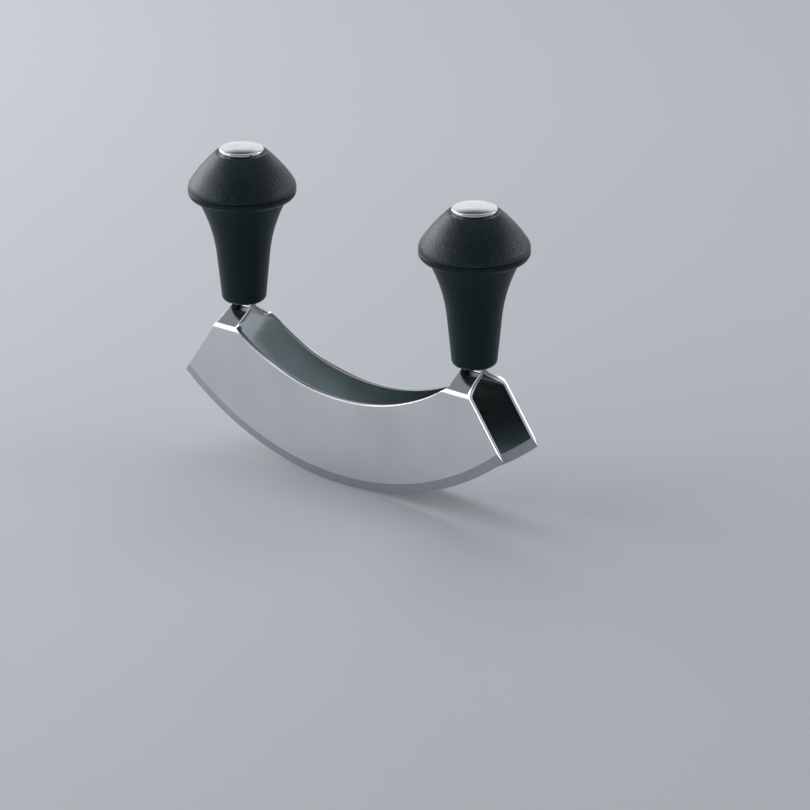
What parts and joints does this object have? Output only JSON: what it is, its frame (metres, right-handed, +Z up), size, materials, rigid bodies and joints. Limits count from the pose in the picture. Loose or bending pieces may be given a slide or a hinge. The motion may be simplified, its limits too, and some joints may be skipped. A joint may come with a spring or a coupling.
{
  "type": "mezzaluna",
  "caption": "Mincing knife with parallel crescent blades that join under two upright mushroom-shaped handles and rock on the board.",
  "frame": {"origin": "midway between the blades and the handles, on the plane that the cutting edges touch", "axes": "+X along the blades towards the right handle, +Y across the gap away from the pictured face, +Z up through the handles"},
  "size_m": [0.15, 0.0398, 0.1158],
  "materials": {
    "blade_steel": "polished stainless sheet with ground bevels",
    "stem_plastic": "smooth satin moulding",
    "head_plastic": "fine grained moulding",
    "cap_steel": "mirror polished",
    "rivet_steel": "plain stainless",
    "fastener_steel": "zinc plated"
  },
  "bodies": {
    "root": {"front_blade": "blade_steel", "back_blade": "blade_steel", "left_stem": "stem_plastic", "left_head": "head_plastic", "left_cap": "cap_steel", "left_tie_rod": "fastener_steel", "left_rivets": "rivet_steel", "left_washer": "fastener_steel", "left_spring_washer": "fastener_steel", "left_nut": "fastener_steel", "right_stem": "stem_plastic", "right_head": "head_plastic", "right_cap": "cap_steel", "right_tie_rod": "fastener_steel", "right_rivets": "rivet_steel", "right_washer": "fastener_steel", "right_spring_washer": "fastener_steel", "right_nut": "fastener_steel"}
  },
  "joints": []
}
